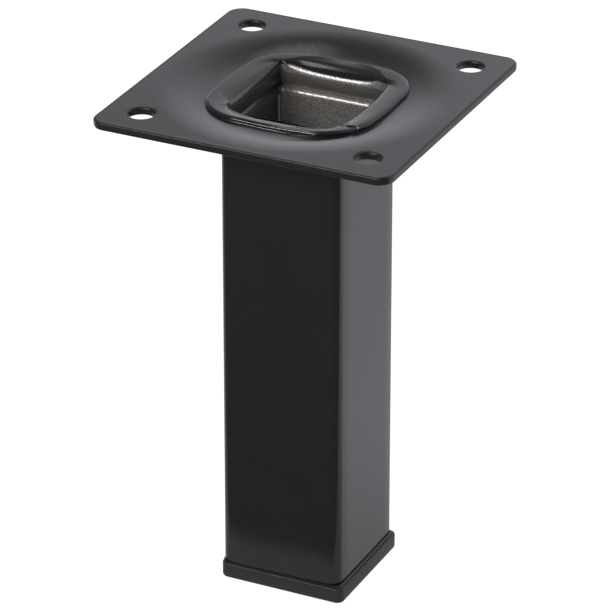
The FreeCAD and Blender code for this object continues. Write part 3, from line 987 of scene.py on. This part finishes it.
def wiped(finish, place):
    """Fine hairlines in one patch of the dish, behind the rim."""
    x, y, z = finish.axes(place)
    turn = finish.node("ShaderNodeMath", {"operation": "ARCTAN2"}, [y, x])
    out = distance_out(x, y)
    fan = finish.node("ShaderNodeCombineXYZ", None, [turn * 0.03, out * 0.18, 0.0])
    hairs = finish.noise(fan, 1.6, 5.0, 0.7)
    aside = (x - WIPED_X * MM) / WIPED_WIDE
    along = (out - WIPED_OUT * MM) / WIPED_LONG
    patch = 1 - finish.step(distance_out(aside, along), 0.1 * MM, 1.0 * MM)
    return patch * finish.step(y, 6 * MM, 14 * MM) * (0.65 + 0.35 * finish.step(hairs, 0.38, 0.66))


print("wiped patch:", 2 * WIPED_WIDE, "by", 2 * WIPED_LONG, "mm")

# %% [markdown]
# ## What the pressing left in the dish
# A glossy coat shows slopes of a degree or two. The real dish is a little steeper at the front left and
# flatter in front than the formula for the dish says. The mesh could carry this too, but the tube's rim
# rests on the dish and would have to follow every change. So these last two degrees are a bump with a wide,
# soft height.

# %% Height left by the pressing
DIAGONAL = 0.7071
STEEPER, PRESSED_DEPTH = 0.25, 0.31


def drawn_down(finish, place):
    """The dish's extra height at the front left, and its missing height in front."""
    x, y, z = finish.axes(place)
    out = distance_out(x, y)
    towards = ((0 - x - y) / out).at_least(0) * DIAGONAL
    towards_cubed = towards * towards * towards
    front = ((0 - y) / out).at_least(0)
    steeper = finish.step(out, 19.0 * MM, 23.5 * MM) * towards_cubed * towards_cubed
    flatter = finish.step(out, 16.4 * MM, 23.8 * MM) * front * front
    return steeper * STEEPER - flatter


print("height lost in front:", PRESSED_DEPTH, "mm")

# %% [markdown]
# ## Cut edges and dust
# The press and the punch leave torn metal, and the paint on it dries rough, so the plate's outline and the
# holes hardly shine. In front of the rim, where a rag doesn't reach, fine dust dried into the coat.
# Separate materials would need the faces to be sorted, and they would meet in hard lines. A mask that
# measures the distance from the outline, from a hole or from the leg's middle has a soft edge and needs no
# sorting.

# %% Where the coat is rough or dusty
ROUGH_FROM, ROUGH_FULL = 0.7, 0.4


def cut_edges(finish, place):
    """1 on the sheared outline and in the punched holes."""
    x, y, z = finish.axes(place)
    out = abs(x).at_least(abs(y))
    outline = finish.step(out, (PLATE_HALF - ROUGH_FROM) * MM, (PLATE_HALF - ROUGH_FULL) * MM)
    from_hole = distance_out(abs(x) - SCREW_PLACE * MM, abs(y) - SCREW_PLACE * MM)
    return outline.at_least(1 - finish.step(from_hole, 2.75 * MM, 3.0 * MM))


def dusty(finish, place):
    """Spots of dust in the corner between the rim and the dish, in front."""
    x, y, z = finish.axes(place)
    near_rim = 1 - finish.step(distance_out(x, y), 18.0 * MM, 19.4 * MM)
    spots = finish.step(finish.noise(place, 2.2, 3.0, 0.6), 0.30, 0.62)
    return finish.step(0 - y, 7 * MM, 13 * MM) * near_rim * spots


print("rough band along the outline:", ROUGH_FROM, "mm wide")

# %% [markdown]
# ## The plate's finish
# All of this meets in one material, from below to above: the coat's own bump, the slopes that the pressing
# left, the rough cut edges, then the pale hairlines and the dust as colours.

# %% Painted plate
def plate_paint():
    finish = new_finish("black_paint")
    place = finish.place()
    colour, roughness, normal = paint_layers(finish, place)
    streaks, rough_cut = wiped(finish, place), cut_edges(finish, place)
    normal = finish.bump(drawn_down(finish, place), PRESSED_DEPTH, 1.0, normal)
    normal = finish.bump(finish.noise(place, 1.8, 3.0, 0.6) * rough_cut, 0.06, 0.8, normal)
    colour = finish.blend(streaks * 0.9, colour, grey(0.12, PAINT))
    colour = finish.blend(dusty(finish, place) * 0.5, colour, grey(0.06, PAINT))
    roughness = roughness + 0.22 * streaks + 0.26 * rough_cut
    shader = finish.node("ShaderNodeBsdfPrincipled", {"distribution": "MULTI_GGX"}, {
        "Base Color": colour, "Roughness": roughness, "Normal": normal, "IOR": 1.5,
    })
    return finish.surface(shader)


dress(plate, plate_paint())

# %% [markdown]
# ## Bare steel inside the tube
# The spray reached the lip but hardly the inside of the tube. Below the lip the bare steel shows: drawn
# sheet with a fine grain, brownish where it has begun to rust. Two materials would meet in a hard line
# along the faces. One material with a mask can end the paint anywhere. The mask goes by the distance from
# the bore's wall and by height, with a ragged edge where the spray fades out.

# %% Where the steel is bare
BARE_FROM, BARE_REACH = 10.5, 1.4
GROOVE_REACH, PASSAGE = 0.9, 0.05


def bare_steel(finish, place):
    """1 on the tube's inner skin below the lip, and 0 wherever there is paint."""
    x, y, z = finish.axes(place)
    past_x = (abs(x) - BARE_FROM * MM).at_least(0)
    past_y = (abs(y) - BARE_FROM * MM).at_least(0)
    from_bore = distance_out(past_x, past_y)
    ragged = finish.noise(place, 1.6, 4.0, 0.7)
    at_groove = finish.step(z, 92.6 * MM, 92.8 * MM) * (1 - finish.step(z, 95.6 * MM, 95.8 * MM))
    deep = from_bore - at_groove * (GROOVE_REACH * MM)
    inside = 1 - finish.step(deep, (BARE_REACH - PASSAGE) * MM, (BARE_REACH + PASSAGE) * MM)
    fading = 1 - finish.step(z + ragged * (1.0 * MM), 98.9 * MM, 99.4 * MM)
    return inside * fading


print("the mask reaches", round(BARE_FROM + BARE_REACH - BORE_HALF, 2), "mm into the wall")

# %% [markdown]
# ## The steel itself
# The steel is darker than clean metal, with rusty clouds and a grain drawn along the tube. A band below the
# lip is darker grey. The left wall, which faces away from the lamps, is darkened as painted shade, and the
# upright corner where that wall meets the back one gets a pale painted highlight. A pure metal would only
# mirror the dark room in the tube, so the steel is about one third metal and the rest plain colour, as an
# oxide skin is.

# %% Colour, roughness and normal of the steel
def steel_layers(finish, place):
    x, y, z = finish.axes(place)
    grain = finish.noise(place, 4.5, 3.0, 0.7)
    drawn = finish.noise(finish.stretched(place, 1.0, 1.0, 0.12), 3.0, 3.0, 0.6)
    damp = finish.step(z, 93.8 * MM, 94.3 * MM) * (1 - finish.step(z, 95.4 * MM, 96.6 * MM))
    rust = finish.step(finish.noise(place, 0.9, 4.0, 0.7) + 0.10 * damp, 0.48, 0.70)
    # Painted shade: the left inner wall, which faces away from the lamps, is blended towards near black.
    left = 1 - finish.step(x, -11.15 * MM, -10.7 * MM)
    # Painted highlight: a pale, duller colour on the upright back-left corner stands in for the light line it
    # mirrors.
    corner = finish.step(y, 10.35 * MM, 10.8 * MM) * (1 - finish.step(y, 10.8 * MM, 11.2 * MM)) * left
    corner = corner * (1 - finish.step(z, 92.2 * MM, 92.8 * MM))
    # A band below the lip is made darker grey.
    darker_band = finish.step(z, 94.9 * MM, 95.5 * MM) * (1 - finish.step(z, 97.0 * MM, 97.5 * MM))
    colour = finish.blend(rust, (0.35, 0.34, 0.325, 1), (0.288, 0.224, 0.17, 1))
    colour = finish.blend(finish.step(grain, 0.40, 0.62), colour, grey(0.10, (1.0, 0.95, 0.90)))
    colour = finish.blend(darker_band * 0.6, colour, grey(0.07))
    # The painted shade on the left inner wall.
    colour = finish.blend(left * 0.8, colour, grey(0.05))
    # The painted highlight on the upright corner.
    colour = finish.blend(corner, colour, (0.62, 0.60, 0.58, 1))
    roughness = 0.16 + 0.12 * grain + 0.06 * rust + 0.3 * corner
    return colour, roughness, finish.bump(grain * 0.7 + drawn * 0.3, 0.015, 0.85)


def tube_finish():
    finish = new_finish("tube_paint_and_steel")
    place = finish.place()
    colour, roughness, normal = paint_layers(finish, place)
    coat = finish.node("ShaderNodeBsdfPrincipled", None, {
        "Base Color": colour, "Roughness": roughness, "Normal": normal, "IOR": 1.5,
    })
    colour, roughness, normal = steel_layers(finish, place)
    metal = finish.node("ShaderNodeBsdfPrincipled", None, {
        "Base Color": colour, "Roughness": roughness, "Normal": normal, "Metallic": 0.32,
    })
    shader = finish.node("ShaderNodeMixShader", None, [bare_steel(finish, place), coat, metal])
    return finish.surface(shader)


dress(tube, tube_finish())

# %% [markdown]
# ## The plug's plastic
# The plug is black plastic straight from the mould, softer and duller than the paint. A plain dark material
# would look like a hole in the picture. So the mould's fine texture and faint flow marks go into the bump
# and the colour, and the places that rub on the floor are a little greyer.

# %% Moulded plastic
def plug_plastic():
    finish = new_finish("black_plastic")
    place = finish.place()
    x, y, z = finish.axes(place)
    texture = finish.noise(place, 8.0, 3.0, 0.6)
    flow = finish.noise(finish.stretched(place, 1.0, 1.0, 0.3), 0.25, 3.0)
    scuffs = finish.step(finish.noise(finish.stretched(place, 1.0, 1.0, 5.0), 0.8, 4.0, 0.7), 0.58, 0.72)
    low = 1 - finish.step(z, 0.2 * MM, 1.6 * MM)
    worn = scuffs * (0.3 + 0.7 * low)
    colour = finish.blend(flow, grey(0.016), grey(0.023))
    colour = finish.blend(worn * 0.6, colour, grey(0.06))
    roughness = 0.42 + 0.10 * texture + 0.12 * worn
    shader = finish.node("ShaderNodeBsdfPrincipled", None, {
        "Base Color": colour, "Roughness": roughness, "Normal": finish.bump(texture, 0.02, 0.5), "IOR": 1.5,
    })
    return finish.surface(shader)


dress(plug, plug_plastic())

# %% [markdown]
# ## The room around the leg
# Black paint shows hardly anything of its own, only what it mirrors. So the studio is made of what stands
# around the leg: bright behind it, and dim in front and overhead. An even white world would make the black
# paint look grey all over. To the camera itself the surroundings are plain white, as in the photograph.

# %% World light
COOL = (0.95, 0.93, 1.0, 1.0)
WHITE = (1, 1, 1, 1)


def world_light():
    """Bright behind the leg, fading upwards and to the left, and dim in front."""
    world = bpy.data.worlds.new("studio")
    bpy.context.scene.world = world
    sky = Finish(world)
    way = sky.node("ShaderNodeTexCoord", None, None, "Generated")
    x, y, z = sky.axes(way)
    screen = 0.98 - 0.68 * sky.step(z - 0.75 * x, 0.60, 0.95)
    behind = sky.step(y, -0.25, 0.25)
    level = 0.16 * (1 - behind) + screen * behind
    camera = sky.node("ShaderNodeLightPath", None, None, "Is Camera Ray")
    total = level * (1 - camera) + 1.02 * camera
    colour = sky.scaled(sky.blend(camera, COOL, WHITE), total)
    back = sky.node("ShaderNodeBackground", None, {"Color": colour, "Strength": 1.0})
    sky.node("ShaderNodeOutputWorld", None, {"Surface": back})
    return world


print("world:", world_light().name)

# %% [markdown]
# ## The floor
# The leg stands on a white table that the tube's lower half and the plug mirror. A lit white plane would
# show a shadow, and the photograph has none. So the floor glows by itself, in one way for the camera and in
# another for reflections, where it is dark in front of the leg and brighter towards the back and the right.
# This has a price: the glow outshines the leg's shadow, and a camera below the plane sees only white.

# %% Floor
FLOOR_METRES, BELOW_FOOT = 6, 0.05


def pale_floor():
    """A plane just below the foot, so that it doesn't share a face with the plug's sole."""
    nothing_selected()
    bpy.ops.mesh.primitive_plane_add(size=FLOOR_METRES, location=(0, 0, -BELOW_FOOT * MM))
    ground = bpy.context.object
    ground.name = "floor"
    finish = new_finish("floor_white")
    x, y, z = finish.axes(finish.place())
    near = finish.step(y, -31 * MM, -24 * MM)
    further = finish.step(y, -10 * MM, 60 * MM)
    aside = finish.step(x - 0.5 * y, 25 * MM, 120 * MM)
    camera = finish.node("ShaderNodeLightPath", None, None, "Is Camera Ray")
    gloss = finish.node("ShaderNodeLightPath", None, None, "Is Glossy Ray")
    mirrored = 0.08 + (0.42 + 0.23 * further + 0.27 * aside) * near
    colour = finish.scaled(finish.blend(gloss * near, grey(1.0), COOL), 0.93 * camera + mirrored * gloss)
    shader = finish.node("ShaderNodeBsdfPrincipled", None, {
        "Base Color": grey(0.25), "Roughness": 0.9, "Specular IOR Level": 0.0,
        "Emission Color": colour, "Emission Strength": 1.0,
    })
    ground.data.materials.append(finish.surface(shader))
    ground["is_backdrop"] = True
    return ground


print("floor:", pale_floor().name)

# %% [markdown]
# ## The lamps
# A long, low softbox stands in front, to the left and above. Every rounded edge that faces it mirrors it as
# a crisp line: the lip and the groove inside the mouth, and the rim's side in front. A round lamp would
# leave dots there. A second, weaker strip hangs above the left side and lies along Y, so that the roll at
# the back shows only a short soft light in it.

# %% Lamps
def softbox(name, place, target, wide, high, watts):
    light = bpy.data.lights.new(name, "AREA")
    light.shape = "RECTANGLE"
    light.size = wide
    light.size_y = high
    light.energy = watts
    lamp = bpy.data.objects.new(name, light)
    bpy.context.collection.objects.link(lamp)
    lamp.location = place
    lamp.rotation_euler = (Vector(target) - Vector(place)).to_track_quat("-Z", "Y").to_euler()
    print("lamp:", name, wide, "by", high, "m,", watts, "W")


softbox("softbox", (-0.20, -0.72, 0.54), (0, 0, 0.09), 0.60, 0.10, 4.6)
softbox("overhead", (-0.265, 0.05, 0.98), (-0.265, 0, 0.09), 0.17, 0.50, 0.95)

# %% [markdown]
# ## The camera
# The plate's nearly parallel edges tell of a long lens far away. The angle round the leg and the height
# above it, the distance and the lens are set so that the leg's corners fall where the picture has them. The
# camera looks straight along its line of sight, and a small shift across it puts the leg in its place in
# the picture.

# %% Camera
AZIMUTH, ELEVATION = math.radians(25.68), math.radians(26.55)
DISTANCE, ASIDE, ALOFT = 850 * MM, -0.54 * MM, 49.69 * MM
LENS = 257.8
back = Vector((math.sin(AZIMUTH), -math.cos(AZIMUTH), 0)) * math.cos(ELEVATION)
back.z = math.sin(ELEVATION)
right = Vector((math.cos(AZIMUTH), math.sin(AZIMUTH), 0))
upward = back.cross(right)
view = bpy.data.objects.new("camera", bpy.data.cameras.new("camera"))
bpy.context.collection.objects.link(view)
view.location = back * DISTANCE + right * ASIDE + upward * ALOFT
view.rotation_euler = back.to_track_quat("Z", "Y").to_euler()
view.data.lens = LENS
view.data.clip_start, view.data.clip_end = 0.05, 20
bpy.context.scene.camera = view
bpy.context.scene.view_settings.view_transform = "Standard"
print("camera at", [round(v, 3) for v in view.location])

# %% [markdown]
# ## The size
# The dressed leg is measured over every piece that is shown, the floor left out, and its size is printed.

# %% Measure and finish
low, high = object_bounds()
print("dressed size in mm:", [round(v / MM, 2) for v in high - low])
